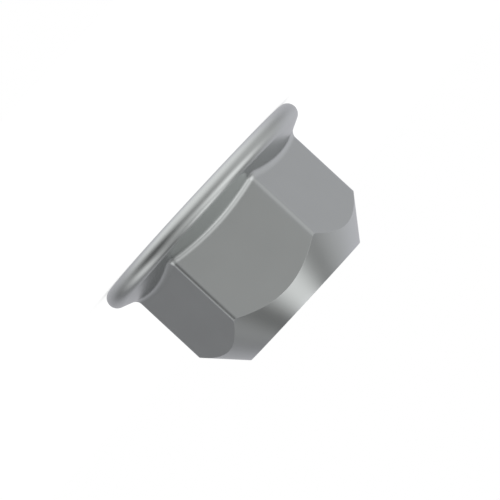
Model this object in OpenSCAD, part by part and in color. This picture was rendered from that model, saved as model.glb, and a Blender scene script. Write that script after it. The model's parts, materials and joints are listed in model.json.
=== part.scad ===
// Hex flange nut for an M8 thread, cold-forged in one piece: a hexagon with rounded corners and a
// coned crown stands on a wide flange with a sloping top and a fully rounded rim.
// Millimetres, +Z up. The origin is the centre of the bearing face, on the axis of the thread.

/* [Thread] */
// Nominal thread diameter
thread_d = 8; // [6:0.5:9]
// Pitch of the thread
pitch = 1.25; // [0.75:0.25:1.5]
// How much wider the countersunk mouths are than the thread
mouth_over = 0.5; // [0.2:0.1:1]
// Included angle of the countersinks
mouth_angle = 90; // [60:5:120]

/* [Hexagon] */
// Width across flats
across_flats = 13; // [11.5:0.1:14]
// Radius of the rounded corners
corner_r = 0.43; // [0.1:0.01:1]
// Height from the bearing face to the end face
height = 9.9; // [8:0.1:14]

/* [Crown] */
// Diameter of the flat end face
end_face_d = 10.5; // [9.5:0.1:12]
// Slope of the crown's cone, measured from the axis
crown_angle = 40; // [25:1:65]

/* [Flange] */
// Outer diameter of the flange
flange_d = 17.8; // [17:0.1:24]
// Radius of the full round on the rim
rim_r = 0.69; // [0.4:0.01:1]
// Slope of the flange's top, measured from the bearing face
flange_slope = 23; // [10:1:32]
// Radius of the fillet between the hexagon and the flange
root_r = 0.55; // [0.2:0.05:0.8]

/* [Hidden] */
$fn = 96;

// Zinc-plated steel
zinc_grey = [0.54, 0.55, 0.55];

// Height of a metric thread's sharp triangle for each unit of pitch, and the share of it in the bore
sharp_height = sqrt(3) / 2;
thread_share = 5 / 8;

bore_d = thread_d - 2 * thread_share * sharp_height * pitch;
mouth_d = thread_d + mouth_over;
mouth_depth = (mouth_d - bore_d) / 2 / tan(mouth_angle / 2);

sides = 6;
side_turn = 360 / sides;
half_turn = side_turn / 2;

// Circle through the centres of the rounded corners, and the reach of the corners themselves
corner_circle_r = (across_flats / 2 - corner_r) / cos(half_turn);
corner_reach = corner_circle_r + corner_r;

// The crown's cone, carried down to where it clears the corners
crown_out_r = corner_reach + corner_r;
crown_drop = (crown_out_r - end_face_d / 2) / tan(crown_angle);

// Centre circle of the rim's round, and where the sloping top leaves it
rim_circle_r = flange_d / 2 - rim_r;
slope_out_r = rim_circle_r + rim_r * sin(flange_slope);
slope_out_z = rim_r + rim_r * cos(flange_slope);

// Steps along each corner, each flat and each arc of the root fillet
corner_steps = 6;
flat_steps = 14;
arc_steps = 8;
// How far the fillet's edges and its back reach into the solids that it joins
fillet_bite = 0.004;
fillet_back = 0.4;

// Overrun of a cut past the faces it opens
overrun = 0.5;

function unit(angle) = [cos(angle), sin(angle)];

// Height of the flange's sloping top at a distance from the axis
function slope_z(r) = slope_out_z + (slope_out_r - r) * tan(flange_slope);

function corner_centre(k) = corner_circle_r * unit(k * side_turn);

// A point on corner k, where the wall faces the given way
function corner_point(k, facing) = corner_centre(k) + corner_r * unit(facing);

// Section of the hexagon: straight flats that run tangent into round corners
module hexagon_section() {
    polygon([for (k = [0:sides - 1], side = [-1, 1]) corner_point(k, k * side_turn + side * half_turn)]);
    for (k = [0:sides - 1]) translate(corner_centre(k)) circle(r = corner_r);
}

// Turned outline that the crown's cone leaves of the hexagon
module crown_section() {
    polygon([
        [0, 0],
        [crown_out_r, 0],
        [crown_out_r, height - crown_drop],
        [end_face_d / 2, height],
        [0, height]
    ]);
}

module hexagon_body() {
    intersection() {
        linear_extrude(height) hexagon_section();
        rotate_extrude() crown_section();
    }
}

// Half section of the flange: flat bearing face, round rim and sloping top
module flange_section() {
    polygon([
        [0, 0],
        [rim_circle_r, 0],
        [rim_circle_r, rim_r],
        [slope_out_r, slope_out_z],
        [0, slope_z(0)]
    ]);
    translate([rim_circle_r, rim_r]) circle(r = rim_r);
}

// Stations round the hexagon's wall, each a point on it and the way the wall faces there
wall_stations = [
    for (k = [0:sides - 1]) each concat(
        [
            for (j = [0:corner_steps])
                let (facing = k * side_turn - half_turn + j * side_turn / corner_steps)
                [corner_point(k, facing), facing]
        ],
        [
            for (j = [1:flat_steps - 1])
                let (
                    facing = k * side_turn + half_turn,
                    from = corner_point(k, facing),
                    to = corner_point(k + 1, facing)
                )
                [from + (to - from) * j / flat_steps, facing]
        ]
    )
];

// Section of the root fillet at one station: the arc of a ball that rolls on the wall and on the
// sloping top, then one point inside the solid that closes the outline
function fillet_section(station) =
    let (
        wall = station[0],
        normal = unit(station[1]),
        ball = wall + root_r * normal,
        ball_z = slope_z(norm(ball)) + root_r / cos(flange_slope),
        outward = ball / norm(ball),
        to_wall = [-normal.x, -normal.y, 0],
        to_slope = [-sin(flange_slope) * outward.x, -sin(flange_slope) * outward.y, -cos(flange_slope)],
        sweep = acos(to_wall * to_slope),
        back = wall - fillet_back * normal
    )
    concat(
        [
            for (j = [0:arc_steps])
                let (
                    share = j / arc_steps,
                    toward = (sin((1 - share) * sweep) * to_wall + sin(share * sweep) * to_slope) / sin(sweep),
                    bite = j == 0 || j == arc_steps ? fillet_bite : 0
                )
                [ball.x, ball.y, ball_z] + (root_r + bite) * toward
        ],
        [[back.x, back.y, ball_z - root_r - fillet_back]]
    );

// Root fillet, a closed ring lofted through its sections
module root_fillet() {
    sections = [for (station = wall_stations) fillet_section(station)];
    count = len(sections);
    points_each = arc_steps + 2;
    point_index = function(i, j) (i % count) * points_each + j % points_each;
    polyhedron(
        points = [for (section = sections) each section],
        faces = [
            for (i = [0:count - 1], j = [0:points_each - 1]) each [
                [point_index(i, j), point_index(i, j + 1), point_index(i + 1, j + 1)],
                [point_index(i, j), point_index(i + 1, j + 1), point_index(i + 1, j)]
            ]
        ]
    );
}

// Hole at the thread's minor diameter, opened by a countersink at each end
module tapped_hole() {
    spread = overrun * tan(mouth_angle / 2);
    rotate_extrude() polygon([
        [0, -overrun],
        [mouth_d / 2 + spread, -overrun],
        [bore_d / 2, mouth_depth],
        [bore_d / 2, height - mouth_depth],
        [mouth_d / 2 + spread, height + overrun],
        [0, height + overrun]
    ]);
}

module flange_nut() {
    color(zinc_grey) difference() {
        union() {
            hexagon_body();
            rotate_extrude() flange_section();
            root_fillet();
        }
        tapped_hole();
    }
}

flange_nut();
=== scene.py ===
"""Hex flange nut for an M8 thread: the visual model with its thread, finish, camera and studio.

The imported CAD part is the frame. The nut is made again as one closed surface that carries the thread in
its hole, is dressed as zinc-plated steel, and stands on a white floor in a light tent.
"""

import json
import logging
import math
from dataclasses import dataclass, field
from enum import Enum

import bpy
import numpy as np
from mathutils import Matrix, Vector


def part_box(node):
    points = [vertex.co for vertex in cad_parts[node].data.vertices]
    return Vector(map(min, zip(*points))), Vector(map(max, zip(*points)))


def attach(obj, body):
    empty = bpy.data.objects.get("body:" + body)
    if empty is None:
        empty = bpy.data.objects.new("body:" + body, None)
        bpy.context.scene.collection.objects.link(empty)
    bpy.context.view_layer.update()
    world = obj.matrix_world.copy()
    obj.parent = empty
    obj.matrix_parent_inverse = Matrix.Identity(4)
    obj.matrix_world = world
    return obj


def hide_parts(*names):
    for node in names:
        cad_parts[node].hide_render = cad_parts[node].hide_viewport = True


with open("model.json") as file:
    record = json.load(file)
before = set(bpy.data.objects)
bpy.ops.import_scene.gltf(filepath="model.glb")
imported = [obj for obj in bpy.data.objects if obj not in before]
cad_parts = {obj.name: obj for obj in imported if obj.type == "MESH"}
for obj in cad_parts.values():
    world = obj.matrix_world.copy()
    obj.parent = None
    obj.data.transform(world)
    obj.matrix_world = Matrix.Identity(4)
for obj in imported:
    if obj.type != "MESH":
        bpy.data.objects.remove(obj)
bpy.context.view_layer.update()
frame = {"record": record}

MM = 0.001
NODE = "flange_nut"
BODY = "root"
# Turn from one corner of the hexagon to the next
SIXTH = math.pi / 3
# Sockets of the Mix node for colours, whose names repeat for each type of data
MIX_SHARE, MIX_A, MIX_B, MIXED = 0, 6, 7, 2

Tree = bpy.types.NodeTree
Socket = bpy.types.NodeSocket

log = logging.getLogger(NODE)


def linear(hex_colour: str) -> tuple[float, float, float, float]:
    """Turn an sRGB hex colour into linear light.

    The curve is c / 12.92 up to 0.04045, and ((c + 0.055) / 1.055)^2.4 above it.

    Args:
        hex_colour: Six hex digits after a hash.

    Returns:
        Red, green, blue and an alpha of 1.
    """
    coded = np.array([int(hex_colour[i : i + 2], 16) for i in (1, 3, 5)]) / 255
    light = np.where(coded <= 0.04045, coded / 12.92, ((coded + 0.055) / 1.055) ** 2.4)
    return (*light.tolist(), 1.0)


def add_node(
    tree: Tree, kind: str, inputs: dict[str | int, object] | None = None, **settings: object
) -> bpy.types.Node:
    """Add one node with its settings, values and links.

    Args:
        tree: Node tree that gets the node.
        kind: Blender's name of the node's type.
        inputs: Socket name or number to a value, or to another node's output.
        settings: The node's own properties.

    Returns:
        The new node.
    """
    node = tree.nodes.new(kind)
    for name, value in settings.items():
        setattr(node, name, value)
    for key, value in (inputs or {}).items():
        if isinstance(value, Socket):
            tree.links.new(value, node.inputs[key])
        else:
            node.inputs[key].default_value = value
    return node


class Mark(Enum):
    """Names of the mesh attributes that the finish reads: proud edges and turned faces."""

    EDGE = "edge"
    TURNED = "turned"


def empty_material(name: str) -> bpy.types.Material:
    """Make a material with nodes and nothing in it.

    Args:
        name: What the material is and how it was made.

    Returns:
        The material.
    """
    material = bpy.data.materials.new(name)
    material.use_nodes = True
    material.node_tree.nodes.clear()
    return material


def grid_object(
    name: str, points: np.ndarray, closed: tuple[bool, bool], marks: dict[Mark, np.ndarray] | None = None
) -> bpy.types.Object:
    """Put a grid of points into a smooth mesh of quads.

    Point (i, j) joins its neighbours (i, j + 1) and (i + 1, j). A closed direction joins its last line to
    its first.

    Args:
        name: Name of the object and its mesh.
        points: Places in metres, an array of rows x columns x 3.
        closed: Whether the rows and the columns run round to the start.
        marks: Values at the points that the finish reads, each rows x columns.

    Returns:
        The object, linked to the scene.
    """
    rows, columns = points.shape[:2]
    index = np.arange(rows * columns).reshape(rows, columns)
    index = np.vstack([index, index[:1]]) if closed[0] else index
    index = np.hstack([index, index[:, :1]]) if closed[1] else index
    corners = [index[:-1, :-1], index[:-1, 1:], index[1:, 1:], index[1:, :-1]]
    quads = np.stack(corners, axis=-1).reshape(-1, len(corners))
    mesh = bpy.data.meshes.new(name)
    mesh.vertices.add(rows * columns)
    mesh.vertices.foreach_set("co", points.astype(np.float32).ravel())
    mesh.loops.add(quads.size)
    mesh.loops.foreach_set("vertex_index", quads.astype(np.int32).ravel())
    mesh.polygons.add(len(quads))
    mesh.polygons.foreach_set("loop_start", np.arange(0, quads.size, len(corners), dtype=np.int32))
    mesh.polygons.foreach_set("use_smooth", np.ones(len(quads), dtype=bool))
    mesh.update(calc_edges=True)
    mesh.validate()
    for mark, values in (marks or {}).items():
        layer = mesh.attributes.new(mark.value, "FLOAT", "POINT")
        layer.data.foreach_set("value", values.astype(np.float32).ravel())
    made = bpy.data.objects.new(name, mesh)
    bpy.context.scene.collection.objects.link(made)
    return made


def heading(azimuth: float, elevation: float) -> Vector:
    """Give the unit vector of a direction: azimuth 0 is the front, -Y, and 90 is +X, in degrees."""
    a, e = math.radians(azimuth), math.radians(elevation)
    return Vector((math.sin(a) * math.cos(e), -math.cos(a) * math.cos(e), math.sin(e)))


@dataclass(frozen=True)
class ZincPlate:
    """Bright zinc plated on cold-forged steel.

    Forging leaves the steel smooth, and the thin plate follows it, so the eye sees a grey, slightly cool
    metal with soft reflections. The plate grows in fine crystals, which break the gloss up a little, and
    its tone drifts slowly over the part. It is thickest and brightest on the edges that stand proud. The
    two faces that were turned flat keep fine rings from the tool. Sizes are in millimetres.
    """

    name: str = "zinc_plated_forged_steel"
    pale: str = "#C4C7C6"
    deep: str = "#C0C3C2"
    bright: str = "#C4C7C7"
    # Zinc mirrors less than a plain metal just before grazing, so its reflections don't rise at the edges
    grazing: str = "#DCDCDC"
    roughness: float = 0.3
    roughness_swing: float = 0.02
    edge_polish: float = 0.01
    # Crystals of a few micrometres are too fine to show, so the grain is drawn this coarse
    grain: float = 0.16
    grain_relief: float = 0.001
    # Spots of the slow drift of tone and gloss
    drift: float = 2.6
    # Feed of the facing tool for each turn, and the height of its rings
    ring: float = 0.2
    ring_relief: float = 0.008
    # Number of finer octaves inside each noise
    grain_detail: float = 2.0
    drift_detail: float = 3.0
    ring_detail: float = 1.0

    def material(self) -> bpy.types.Material:
        """Build the finish from noise on Object coordinates, scaled by its sizes.

        The mesh attributes say where it changes: edge is 1 on a proud edge, turned is 1 on a turned face.

        Returns:
            The material.
        """
        made = empty_material(self.name)
        tree = made.node_tree
        place = add_node(tree, "ShaderNodeTexCoord").outputs["Object"]
        edge = add_node(tree, "ShaderNodeAttribute", attribute_name=Mark.EDGE.value).outputs["Fac"]
        turned = add_node(tree, "ShaderNodeAttribute", attribute_name=Mark.TURNED.value).outputs["Fac"]
        drift = add_node(
            tree,
            "ShaderNodeTexNoise",
            {"Vector": place, "Scale": 1 / (self.drift * MM), "Detail": self.drift_detail},
        ).outputs["Fac"]
        grain = add_node(
            tree,
            "ShaderNodeTexNoise",
            {"Vector": place, "Scale": 1 / (self.grain * MM), "Detail": self.grain_detail},
        ).outputs["Fac"]
        tone = add_node(
            tree,
            "ShaderNodeMix",
            {MIX_SHARE: drift, MIX_A: linear(self.deep), MIX_B: linear(self.pale)},
            data_type="RGBA",
        )
        colour = add_node(
            tree,
            "ShaderNodeMix",
            {MIX_SHARE: edge, MIX_A: tone.outputs[MIXED], MIX_B: linear(self.bright)},
            data_type="RGBA",
        )
        gloss = add_node(
            tree,
            "ShaderNodeMapRange",
            {
                "Value": drift,
                "To Min": self.roughness - self.roughness_swing,
                "To Max": self.roughness + self.roughness_swing,
            },
        ).outputs["Result"]
        polish = add_node(tree, "ShaderNodeMath", {0: edge, 1: self.edge_polish}, operation="MULTIPLY")
        polished = add_node(tree, "ShaderNodeMath", {0: gloss, 1: polish.outputs[0]}, operation="SUBTRACT")
        # The distance from the axis leaves the height out
        plan = add_node(tree, "ShaderNodeVectorMath", {0: place, 1: (1.0, 1.0, 0.0)}, operation="MULTIPLY")
        radius = add_node(tree, "ShaderNodeVectorMath", {0: plan.outputs["Vector"]}, operation="LENGTH")
        rings = add_node(
            tree,
            "ShaderNodeTexNoise",
            {"W": radius.outputs["Value"], "Scale": 1 / (self.ring * MM), "Detail": self.ring_detail},
            noise_dimensions="1D",
        )
        cut = add_node(tree, "ShaderNodeMath", {0: rings.outputs["Fac"], 1: turned}, operation="MULTIPLY")
        grained = add_node(tree, "ShaderNodeBump", {"Height": grain, "Distance": self.grain_relief * MM})
        ringed = add_node(
            tree,
            "ShaderNodeBump",
            {
                "Height": cut.outputs[0],
                "Distance": self.ring_relief * MM,
                "Normal": grained.outputs["Normal"],
            },
        )
        shader = add_node(
            tree,
            "ShaderNodeBsdfPrincipled",
            {
                "Base Color": colour.outputs[MIXED],
                "Metallic": 1.0,
                "Specular Tint": linear(self.grazing),
                "Roughness": polished.outputs[0],
                "Normal": ringed.outputs["Normal"],
            },
        )
        add_node(tree, "ShaderNodeOutputMaterial", {"Surface": shader.outputs["BSDF"]})
        return made


@dataclass
class FlangeNut:
    """The nut as one closed surface, in millimetres, with the same sizes as the CAD part.

    Stations run round the hexagon, and each carries a closed section: up the flat, over the crown, across
    the end face, down the tapped hole, out under the flange, round the rim and up the root fillet.
    Sections are complex numbers, radius + i * height, and plan directions are unit complex numbers.
    """

    height: float
    flange_d: float
    bore_r: float
    across_flats: float = 13.0
    corner_r: float = 0.43
    end_face_d: float = 10.5
    crown_angle: float = math.radians(40)
    rim_r: float = 0.69
    slope: float = math.radians(23)
    root_r: float = 0.55
    pitch: float = 1.25
    # How much wider the countersunk mouths are than the thread
    mouth_over: float = 0.5
    # How far the round of a broken edge reaches from the sharp edge
    edge_break: float = 0.006
    # First and last step across a face, which keep the shading of its creases tight
    margin: float = 0.015
    # Width over which the thread's flats, slopes and mouths blend
    crest_round: float = 0.05
    # How far the brighter plate reaches from a proud edge
    edge_reach: float = 0.3
    # Steps of the mesh, round the hexagon and then along the section
    corner_steps: int = 12
    flat_steps: int = 30
    wall_steps: int = 10
    crown_steps: int = 8
    end_steps: int = 4
    break_steps: int = 4
    rows_a_pitch: int = 22
    bearing_steps: int = 6
    rim_steps: int = 24
    slope_steps: int = 5
    fillet_steps: int = 16
    wall: np.ndarray = field(init=False)
    facing: np.ndarray = field(init=False)

    def __post_init__(self) -> None:
        """Lay out the stations round the wall.

        One sixth is a corner arc, centre + corner_r * exp(i * facing) with facing from -30 to 30 degrees,
        and a straight flat to the next corner. The rest are that sixth times exp(i * 60 degrees * k).
        """
        half = SIXTH / 2
        centre = (self.across_flats / 2 - self.corner_r) / math.cos(half)
        turn = np.exp(1j * np.linspace(-half, half, self.corner_steps + 1))
        corner = centre + self.corner_r * turn
        flat = self.spaced(corner[-1:], corner[:1] * np.exp(1j * SIXTH), self.flat_steps)[1:-1, 0]
        sixth = np.concatenate([corner, flat])
        normals = np.concatenate([turn, np.full(len(flat), turn[-1])])
        turns = np.exp(1j * SIXTH * np.arange(6))[:, None]
        self.wall = (turns * sixth).ravel()
        self.facing = (turns * normals).ravel()

    @classmethod
    def from_frame(cls, record: dict) -> "FlangeNut":
        """Take the outer sizes from the CAD box and the bore from the thread's mount.

        Args:
            record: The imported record.

        Returns:
            The nut.
        """
        low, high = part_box(NODE)
        thread = next(m for m in record["mounts"] if m["kind"] == "threaded_hole")
        return cls(
            height=(high.z - low.z) / MM, flange_d=(high.x - low.x) / MM, bore_r=thread["dims"]["r_mm"]
        )

    @property
    def end_r(self) -> float:
        """Radius of the end face."""
        return self.end_face_d / 2

    @property
    def sharp_height(self) -> float:
        """Height of the thread's sharp triangle, sqrt(3) / 2 times the pitch."""
        return math.sqrt(3) / 2 * self.pitch

    @property
    def major_r(self) -> float:
        """Radius at the bottom of the thread's grooves, 5/8 of the sharp height outside the bore."""
        return self.bore_r + 5 / 8 * self.sharp_height

    @property
    def mouth_r(self) -> float:
        """Radius of the countersunk mouths."""
        return self.major_r + self.mouth_over / 2

    @property
    def rim_circle_r(self) -> float:
        """Radius of the circle of centres of the rim's round."""
        return self.flange_d / 2 - self.rim_r

    @property
    def slope_start(self) -> complex:
        """Section point where the rim's round turns into the flange's sloping top."""
        return self.rim_circle_r + 1j * self.rim_r + self.rim_r * np.exp(1j * (math.pi / 2 - self.slope))

    @property
    def ball(self) -> np.ndarray:
        """Plan of the ball that rolls round the root, a fillet radius out from the wall."""
        return self.wall + self.root_r * self.facing

    @property
    def ball_height(self) -> np.ndarray:
        """Height of the ball, which touches the sloping top: its cone raised by root_r / cos(slope)."""
        cone = self.slope_start.imag + (self.slope_start.real - abs(self.ball)) * math.tan(self.slope)
        return cone + self.root_r / math.cos(self.slope)

    @property
    def crown_foot(self) -> np.ndarray:
        """Section points where the crown's cone meets the wall: height - (r - end_r) / tan(angle)."""
        r = abs(self.wall)
        return r + 1j * (self.height - (r - self.end_r) / math.tan(self.crown_angle))

    def spaced(self, start: np.ndarray, end: np.ndarray, steps: int) -> np.ndarray:
        """Space rows evenly from start to end, with a short first and last step that keep creases tight.

        A row is start + (end - start) * share, and the short steps are as long as the margin.

        Args:
            start: First points, one for each station.
            end: Last points, one for each station.
            steps: Number of even steps between the two short ones.

        Returns:
            Rows x stations, both ends included.
        """
        inset = self.margin / abs(end - start)
        shares = inset + (1 - 2 * inset) * np.linspace(0, 1, steps + 1)[:, None]
        shares = np.vstack([np.zeros_like(inset), shares, np.ones_like(inset)])
        return start + (end - start) * shares

    def broken(self, before: np.ndarray, edge: np.ndarray, after: np.ndarray) -> np.ndarray:
        """Round a sharp edge off with a small quadratic curve.

        The curve is (1 - t)^2 a + 2 t (1 - t) edge + t^2 b, where a and b lie edge_break from the edge.

        Args:
            before: A point on the face that leads to the edge.
            edge: The sharp edge.
            after: A point on the face that leaves it.

        Returns:
            Rows x stations of section points from a to b.
        """
        a = edge + self.edge_break * (before - edge) / abs(before - edge)
        b = edge + self.edge_break * (after - edge) / abs(after - edge)
        t = np.linspace(0, 1, self.break_steps + 1)[:, None]
        return (1 - t) ** 2 * a + 2 * t * (1 - t) * edge + t**2 * b

    def hole(self, azimuth: np.ndarray, z: np.ndarray) -> np.ndarray:
        """Give the radius of the tapped hole.

        The groove is major_r + H / 8 - sqrt(3) * |z - p * azimuth / 2 pi|, repeated each pitch and cut off
        at the major and bore radii: a right-hand thread of 60 degrees. The countersinks at 45 degrees open
        it where they are wider. Every switch is the soft maximum (a + b + sqrt((a - b)^2 + w^2)) / 2.

        Args:
            azimuth: Direction round the axis, in radians.
            z: Height.

        Returns:
            The radius, in millimetres.
        """

        def wider(a: np.ndarray, b: np.ndarray | float) -> np.ndarray:
            """Soft maximum of two radii."""
            return (a + b + np.sqrt((a - b) ** 2 + self.crest_round**2)) / 2

        turns = z / self.pitch - azimuth / (2 * math.pi)
        aside = abs((turns + 0.5) % 1 - 0.5) * self.pitch
        groove = self.major_r + self.sharp_height / 8 - math.sqrt(3) * aside
        thread = wider(-wider(-groove, -self.major_r), self.bore_r)
        return wider(wider(thread, self.mouth_r - (self.height - z)), self.mouth_r - z)

    def upright(self, section: np.ndarray, direction: np.ndarray) -> np.ndarray:
        """Stand section points up in the plan: radius along the direction, height along z.

        Args:
            section: Rows x stations of radius + i * height.
            direction: Unit complex plan directions.

        Returns:
            Rows x stations x 3.
        """
        plan = section.real * direction
        return np.stack([plan.real, plan.imag, section.imag], axis=-1)

    def hexagon_and_crown(self) -> np.ndarray:
        """Rows up the wall, over the crown's cone and across the end face to the mouth of the hole.

        Returns:
            Rows x stations x 3.
        """
        r = abs(self.wall)
        foot = r + 1j * self.ball_height
        end = np.full(r.shape, self.end_r + 1j * self.height)
        mouth = np.full(r.shape, self.mouth_r + 1j * self.height)
        crown = self.broken(foot, self.crown_foot, end)
        rim = self.broken(self.crown_foot, end, mouth)
        # The countersink leaves the mouth at 45 degrees
        lip = self.broken(end, mouth, mouth - 1 - 1j)
        rows = [
            self.spaced(foot, crown[0], self.wall_steps)[:-1],
            crown[:-1],
            self.spaced(crown[-1], rim[0], self.crown_steps)[:-1],
            rim[:-1],
            self.spaced(rim[-1], lip[0], self.end_steps)[:-1],
            lip[:-1],
        ]
        return self.upright(np.vstack(rows), self.wall / r)

    def tapped_hole(self) -> np.ndarray:
        """Rows down the hole, its radius worked out at each station and height.

        Returns:
            Rows x stations x 3.
        """
        lip = self.edge_break / math.sqrt(2)
        count = round(self.rows_a_pitch * self.height / self.pitch)
        z = np.linspace(self.height - lip, lip, count)[:, None]
        section = self.hole(np.angle(self.wall), z) + 1j * z
        return self.upright(section, self.wall / abs(self.wall))

    def bearing_face(self) -> np.ndarray:
        """Rows from the hole's lower mouth out to the rim, swinging from the wall's azimuth to the ball's.

        A point's direction is the wall's times exp(i * swing * share), with the share 0 at the mouth and 1
        at the rim.

        Returns:
            Rows x stations x 3.
        """
        mouth = np.full(self.wall.shape, self.mouth_r + 0j)
        rim = np.full(self.wall.shape, self.rim_circle_r + 0j)
        # The countersink comes to the mouth at 45 degrees
        lip = self.broken(mouth - 1 + 1j, mouth, rim)
        rows = np.vstack([lip[1:-1], self.spaced(lip[-1], rim, self.bearing_steps)[:-1]])
        share = (rows.real - self.mouth_r) / (self.rim_circle_r - self.mouth_r)
        swing = np.angle(self.ball / self.wall)
        return self.upright(rows, self.wall / abs(self.wall) * np.exp(1j * swing * np.clip(share, 0, 1)))

    def flange(self) -> np.ndarray:
        """Rows round the rim, centre + rim_r * exp(i * angle), and up the sloping top to the fillet.

        Returns:
            Rows x stations x 3.
        """
        angles = np.linspace(-math.pi / 2, math.pi / 2 - self.slope, self.rim_steps + 1)[:, None]
        rim = self.rim_circle_r + 1j * self.rim_r + self.rim_r * np.exp(1j * angles)
        rim = np.broadcast_to(rim, (len(angles), len(self.wall)))
        touch = self.root_r * np.exp(1j * (math.pi / 2 - self.slope))
        foot = abs(self.ball) + 1j * self.ball_height - touch
        rows = np.vstack([rim[:-1], self.spaced(rim[-1], foot, self.slope_steps)[:-1]])
        return self.upright(rows, self.ball / abs(self.ball))

    def root_fillet(self) -> np.ndarray:
        """Rows of the ball's arc from the sloping top to the wall.

        The arc is ball + root_r * (sin((1 - t) w) s + sin(t w) n) / sin(w), where s and n point from the
        ball to the slope and to the wall and w is the angle between them.

        Returns:
            Rows x stations x 3, without the last row, which is the foot of the wall.
        """
        out = self.ball / abs(self.ball)
        sweep = np.arccos(math.sin(self.slope) * (out * self.facing.conj()).real)
        t = np.linspace(0, 1, self.fillet_steps + 1)[:-1, None]
        to_slope = np.sin((1 - t) * sweep) / np.sin(sweep)
        to_wall = np.sin(t * sweep) / np.sin(sweep)
        plan = self.ball - self.root_r * (to_slope * math.sin(self.slope) * out + to_wall * self.facing)
        z = self.ball_height - self.root_r * to_slope * math.cos(self.slope)
        return np.stack([plan.real, plan.imag, z], axis=-1)

    def marks(self, points: np.ndarray) -> dict[Mark, np.ndarray]:
        """Mark the proud edges and the turned faces.

        Edge is exp(-(d / edge_reach)^2), where d is the distance to the nearest corner line or to the rim
        of the end face. A point's azimuth is folded into one sixth of a turn to find its corner. Turned is
        1 at the height of the end face or of the bearing face.

        Args:
            points: Rows x stations x 3.

        Returns:
            Each mark's value at each point.
        """
        plan, z = points[..., 0] + 1j * points[..., 1], points[..., 2]
        fold = (np.angle(plan) + SIXTH / 2) % SIXTH - SIXTH / 2
        from_corner = abs(plan) * np.exp(1j * fold) - abs(self.wall).max()
        past_corner = z - np.clip(z, self.ball_height.min(), self.crown_foot.imag.min())
        to_corner = np.hypot(abs(from_corner), past_corner)
        to_rim = np.hypot(abs(plan) - self.end_r, z - self.height)
        edge = np.exp(-((np.minimum(to_corner, to_rim) / self.edge_reach) ** 2))
        turned = np.isclose(z, 0) | np.isclose(z, self.height)
        return {Mark.EDGE: edge, Mark.TURNED: turned}

    def build(self, finish: ZincPlate) -> bpy.types.Object:
        """Make the nut's mesh, dress it and put it in the CAD node's place.

        Args:
            finish: The plating.

        Returns:
            The nut.
        """
        points = np.concatenate(
            [
                self.hexagon_and_crown(),
                self.tapped_hole(),
                self.bearing_face(),
                self.flange(),
                self.root_fillet(),
            ]
        )
        nut = grid_object("hex_flange_nut", points * MM, (True, True), self.marks(points))
        nut.data.materials.append(finish.material())
        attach(nut, BODY)
        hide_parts(NODE)
        return nut


class Cloth(Enum):
    """What a panel of the tent does: lit cloth adds light, and black cloth takes the room's light away."""

    LIT = 1
    BLACK = -1


@dataclass(frozen=True)
class Panel:
    """An elliptic panel of cloth on the tent, with angles in degrees as the nut sees it.

    A level of 1 is white. Soft is the share of its half width over which its edge fades in and out.
    """

    name: str
    cloth: Cloth
    level: float
    azimuth: float
    elevation: float
    half_width: float
    half_height: float
    soft: float = 0.8

    def glow(self, tree: Tree, way: Socket) -> Socket:
        """Add the panel's light to a node tree.

        It is the smooth step of |q| from 1 + soft to 1 - soft, times the level. q is the chord from the
        panel's middle to the direction, divided by the chords of its half width and half height.

        Args:
            tree: The tent's nodes.
            way: Unit vector of the direction from the nut.

        Returns:
            The light, below zero for black cloth.
        """
        middle, right = heading(self.azimuth, self.elevation), heading(self.azimuth + 90, 0)
        turn = Matrix((right, middle.cross(right), middle)).transposed().to_euler()
        across, up = (2 * math.sin(math.radians(half) / 2) for half in (self.half_width, self.half_height))
        chord = add_node(
            tree,
            "ShaderNodeMapping",
            {"Vector": way, "Location": middle, "Rotation": turn, "Scale": (across, up, max(across, up))},
            vector_type="TEXTURE",
            label=self.name,
        )
        q = add_node(tree, "ShaderNodeVectorMath", {0: chord.outputs[0]}, operation="LENGTH")
        return add_node(
            tree,
            "ShaderNodeMapRange",
            {
                "Value": q.outputs["Value"],
                "From Min": 1 + self.soft,
                "From Max": 1 - self.soft,
                "To Max": self.cloth.value * self.level,
            },
            interpolation_type="SMOOTHSTEP",
        ).outputs["Result"]


@dataclass(frozen=True)
class Softbox:
    """A round soft lamp that lights the floor.

    Its direction and half width are in degrees, its level is its radiance, and its distance is in metres.
    """

    name: str
    azimuth: float
    elevation: float
    half_width: float
    level: float
    distance: float = 0.25

    def build(self, aim: Vector) -> bpy.types.Object:
        """Hang the lamp. Its power is pi * area * radiance, so its level doesn't depend on its size.

        Args:
            aim: What it lights.

        Returns:
            The lamp.
        """
        way = heading(self.azimuth, self.elevation)
        radius = self.distance * math.tan(math.radians(self.half_width))
        lamp = bpy.data.lights.new(self.name, "AREA")
        lamp.shape = "DISK"
        lamp.size = 2 * radius
        lamp.energy = math.pi * (math.pi * radius**2) * self.level
        made = bpy.data.objects.new(self.name, lamp)
        made.location = aim + way * self.distance
        made.rotation_euler = way.to_track_quat("Z", "Y").to_euler()
        made.visible_camera = False
        made.visible_glossy = False
        bpy.context.scene.collection.objects.link(made)
        return made


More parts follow.
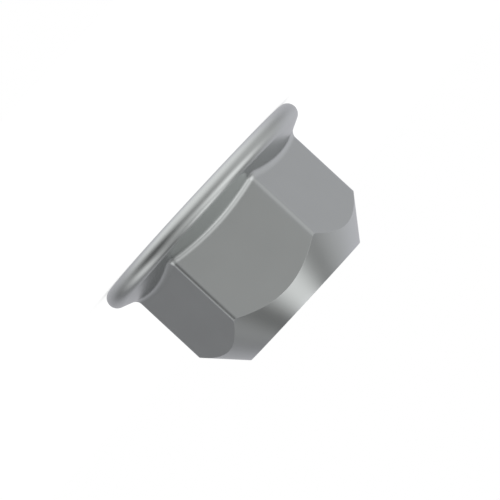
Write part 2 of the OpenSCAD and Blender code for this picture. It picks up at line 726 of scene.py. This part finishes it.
@dataclass
class Studio:
    """White floor and surroundings, two soft lamps, and a light tent that only reflections see.

    The floor and the world are white to the camera. The metal mirrors the tent, whose lowest panel stands
    for the white floor and whose other panels stand for the softboxes, grey walls and black flags. Sizes
    are in metres.
    """

    aim: Vector
    room: float = 0.44
    front_tint: str = "#FFFFFF"
    back_tint: str = "#FAF9FF"
    # How far back the walls are as cool as the back wall, where 0 is beside the nut and 1 is behind it
    cool_from: float = 0.7
    tent_r: float = 0.6
    tent_steps: int = 32
    floor_half: float = 3.0
    floor_gap: float = 0.000005
    floor_grey: str = "#A6A6A6"
    floor_glow: float = 0.64
    panels: tuple[Panel, ...] = (
        Panel("white_floor", Cloth.LIT, 0.7, 0, -90, 55, 55, 0.6),
        Panel("key_softbox", Cloth.LIT, 0.95, -40, 35, 28, 20),
        Panel("top_softbox", Cloth.LIT, 1.05, -10, 75, 14, 12),
        Panel("front_softbox", Cloth.LIT, 0.3, 10, 30, 18, 16),
        Panel("side_softbox", Cloth.LIT, 0.35, 80, 30, 12, 20),
        Panel("side_spill", Cloth.LIT, 0.35, 90, 20, 20, 25),
        Panel("left_wall", Cloth.LIT, 0.15, -90, 20, 22, 24),
        Panel("low_left_wall", Cloth.LIT, 0.15, -60, -5, 26, 14),
        Panel("back_wall", Cloth.LIT, 0.4, 180, 5, 40, 40),
        Panel("back_left_wall", Cloth.LIT, 0.25, -140, 25, 30, 30),
        Panel("front_flag", Cloth.BLACK, 0.15, 20, -15, 32, 10),
        Panel("low_right_flag", Cloth.BLACK, 0.4, 60, -20, 28, 28),
        Panel("back_right_flag", Cloth.BLACK, 0.15, 145, -38, 25, 20),
        Panel("right_flag", Cloth.BLACK, 0.3, 120, 15, 14, 30),
        Panel("top_right_flag", Cloth.BLACK, 0.35, 85, 65, 13, 11),
        Panel("top_left_flag", Cloth.BLACK, 0.25, -85, 65, 12, 10),
    )
    lamps: tuple[Softbox, ...] = (
        Softbox("key_softbox", -42, 36, 18, 1.3),
        Softbox("top_softbox", -6, 76, 14, 1.3),
    )

    def seen(self, tree: Tree) -> Socket:
        """Tell the rays that show the floor from those that only carry light.

        Args:
            tree: The floor's nodes.

        Returns:
            1 for rays from the camera, mirrored rays and rays through glass, and 0 for others.
        """
        ray = add_node(tree, "ShaderNodeLightPath").outputs
        direct = add_node(
            tree,
            "ShaderNodeMath",
            {0: ray["Is Camera Ray"], 1: ray["Is Glossy Ray"]},
            operation="MAXIMUM",
        )
        shown = add_node(
            tree,
            "ShaderNodeMath",
            {0: direct.outputs[0], 1: ray["Is Transmission Ray"]},
            operation="MAXIMUM",
        )
        return shown.outputs[0]

    def tent(self) -> bpy.types.Object:
        """Make the tent, a sphere that glows with the room's level plus the light of each panel.

        Its points are tent_r * (cos(up) cos(around), cos(up) sin(around), sin(up)).

        Returns:
            The tent.
        """
        made = empty_material("tent_cloth")
        tree = made.node_tree
        place = add_node(tree, "ShaderNodeTexCoord").outputs["Object"]
        way = add_node(tree, "ShaderNodeVectorMath", {0: place}, operation="NORMALIZE").outputs["Vector"]
        level = self.room
        for panel in self.panels:
            total = add_node(tree, "ShaderNodeMath", {0: level, 1: panel.glow(tree, way)}, operation="ADD")
            level = total.outputs[0]
        backward = add_node(tree, "ShaderNodeSeparateXYZ", {0: way}).outputs["Y"]
        share = add_node(tree, "ShaderNodeMapRange", {"Value": backward, "From Max": self.cool_from})
        tint = add_node(
            tree,
            "ShaderNodeMix",
            {
                MIX_SHARE: share.outputs["Result"],
                MIX_A: linear(self.front_tint),
                MIX_B: linear(self.back_tint),
            },
            data_type="RGBA",
        )
        glow = add_node(tree, "ShaderNodeEmission", {"Color": tint.outputs[MIXED], "Strength": level})
        add_node(tree, "ShaderNodeOutputMaterial", {"Surface": glow.outputs["Emission"]})
        made.cycles.emission_sampling = "NONE"
        up, around = np.meshgrid(
            np.linspace(-math.pi / 2, math.pi / 2, self.tent_steps + 1),
            np.linspace(0, 2 * math.pi, 2 * self.tent_steps + 1),
            indexing="ij",
        )
        ball = np.stack([np.cos(up) * np.cos(around), np.cos(up) * np.sin(around), np.sin(up)], axis=-1)
        tent = grid_object("light_tent", self.tent_r * ball, (False, False))
        tent.location = self.aim
        tent.data.materials.append(made)
        tent.visible_camera = False
        tent.visible_diffuse = False
        tent.visible_shadow = False
        return tent

    def floor(self) -> bpy.types.Object:
        """Lay the floor, which glows enough to be white to the camera and still takes the shadow.

        Its corners are floor_half out from the nut along both axes, and floor_gap below it.

        Returns:
            The floor.
        """
        made = empty_material("white_floor")
        tree = made.node_tree
        strength = add_node(
            tree, "ShaderNodeMath", {0: self.seen(tree), 1: self.floor_glow}, operation="MULTIPLY"
        )
        glow = add_node(tree, "ShaderNodeEmission", {"Strength": strength.outputs[0]})
        paint = add_node(tree, "ShaderNodeBsdfDiffuse", {"Color": linear(self.floor_grey)})
        both = add_node(tree, "ShaderNodeAddShader", {0: glow.outputs[0], 1: paint.outputs[0]})
        add_node(tree, "ShaderNodeOutputMaterial", {"Surface": both.outputs[0]})
        made.cycles.emission_sampling = "NONE"
        sides = (-self.floor_half, self.floor_half)
        across, along = np.meshgrid(sides, sides)
        corners = np.stack([across, along, np.full_like(across, -self.floor_gap)], axis=-1)
        floor = grid_object("floor", corners, (False, False))
        floor.data.materials.append(made)
        floor.visible_glossy = False
        return floor

    def surroundings(self) -> None:
        """Make the world white at a strength of 1, as the backdrop and as soft light on the floor."""
        world = bpy.data.worlds.new("white_studio")
        bpy.context.scene.world = world
        world.use_nodes = True
        tree = world.node_tree
        tree.nodes.clear()
        white = add_node(tree, "ShaderNodeBackground", {"Color": linear("#FFFFFF"), "Strength": 1.0})
        add_node(tree, "ShaderNodeOutputWorld", {"Surface": white.outputs[0]})

    def build(self) -> None:
        """Set up the world, the floor, the tent and the lamps."""
        self.surroundings()
        self.floor()
        self.tent()
        for lamp in self.lamps:
            lamp.build(self.aim)


@dataclass(frozen=True)
class Viewpoint:
    """The camera: where it stands round the nut, in degrees and millimetres, and how it is turned."""

    azimuth: float = -1.9
    elevation: float = 0.42
    distance: float = 281.0
    roll: float = 132.75
    lens: float = 308.9
    sensor: float = 36.0
    aim_height: float = 4.94

    @property
    def aim(self) -> Vector:
        """Point on the nut's axis that is in the middle of the picture, in metres."""
        return Vector((0, 0, self.aim_height * MM))

    def build(self) -> bpy.types.Object:
        """Set the camera up and make it the scene's.

        Returns:
            The camera.
        """
        back = heading(self.azimuth, self.elevation)
        right = Vector((0, 0, 1)).cross(back).normalized()
        level = Matrix((right, back.cross(right), back)).transposed()
        lens = bpy.data.cameras.new("camera")
        lens.lens = self.lens
        lens.sensor_width = self.sensor
        made = bpy.data.objects.new("camera", lens)
        turn = level @ Matrix.Rotation(math.radians(self.roll), 3, "Z")
        made.matrix_world = Matrix.Translation(self.aim + back * self.distance * MM) @ turn.to_4x4()
        bpy.context.scene.collection.objects.link(made)
        bpy.context.scene.camera = made
        return made


def main() -> None:
    """Build the nut, the studio and the camera."""
    logging.basicConfig(level=logging.INFO, format="%(message)s")
    bpy.context.scene.view_settings.view_transform = "Standard"
    shape = FlangeNut.from_frame(frame["record"])
    nut = shape.build(ZincPlate())
    faces = len(nut.data.polygons)
    log.info("%s: %d faces, thread M%.0f x %.2f", nut.name, faces, 2 * shape.major_r, shape.pitch)
    view = Viewpoint()
    Studio(view.aim).build()
    view.build()


if __name__ == "__main__":
    main()
